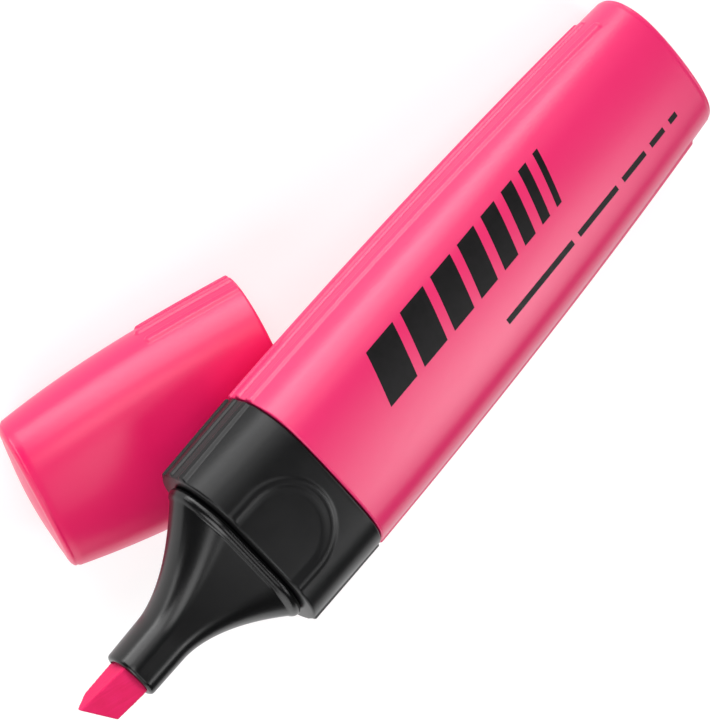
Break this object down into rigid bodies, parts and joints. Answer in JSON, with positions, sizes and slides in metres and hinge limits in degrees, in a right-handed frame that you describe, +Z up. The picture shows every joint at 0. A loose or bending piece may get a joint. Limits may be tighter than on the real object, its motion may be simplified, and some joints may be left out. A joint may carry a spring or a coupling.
{
  "type": "highlighter",
  "caption": "Flat-bodied highlighter pen with its cap pulled off; the pen leans across the cap, chisel nib to the front.",
  "frame": {"origin": "on the table, under the middle of the resting object's box", "axes": "+Z up from the table; +X along the cap from its closed end to its open rim, roughly the way the pen runs to its back end; +Y across the cap"},
  "size_m": [0.1098, 0.0436, 0.0375],
  "materials": {
    "pink_plastic": "semi-gloss moulded plastic, slightly translucent",
    "black_satin_plastic": "fine satin grain",
    "black_gloss_plastic": "smooth gloss",
    "pink_felt": "bonded fibre soaked with ink",
    "ink_fibre": "fibre bundle soaked with ink",
    "clear_film": "thin translucent film",
    "seal_plastic": "soft natural polyethylene"
  },
  "bodies": {
    "pen": {"barrel": "pink_plastic", "grip_collar": "black_satin_plastic", "nozzle": "black_gloss_plastic", "nib": "pink_felt", "reservoir_core": "ink_fibre", "reservoir_wrap": "clear_film"},
    "cap": {"cap_shell": "pink_plastic", "inner_cap": "seal_plastic"}
  },
  "joints": [
    {"name": "cap_slide", "type": "slide", "parent": "pen", "child": "cap", "axis": [-1, 0, 0], "range_m": [0, 0.06]}
  ]
}
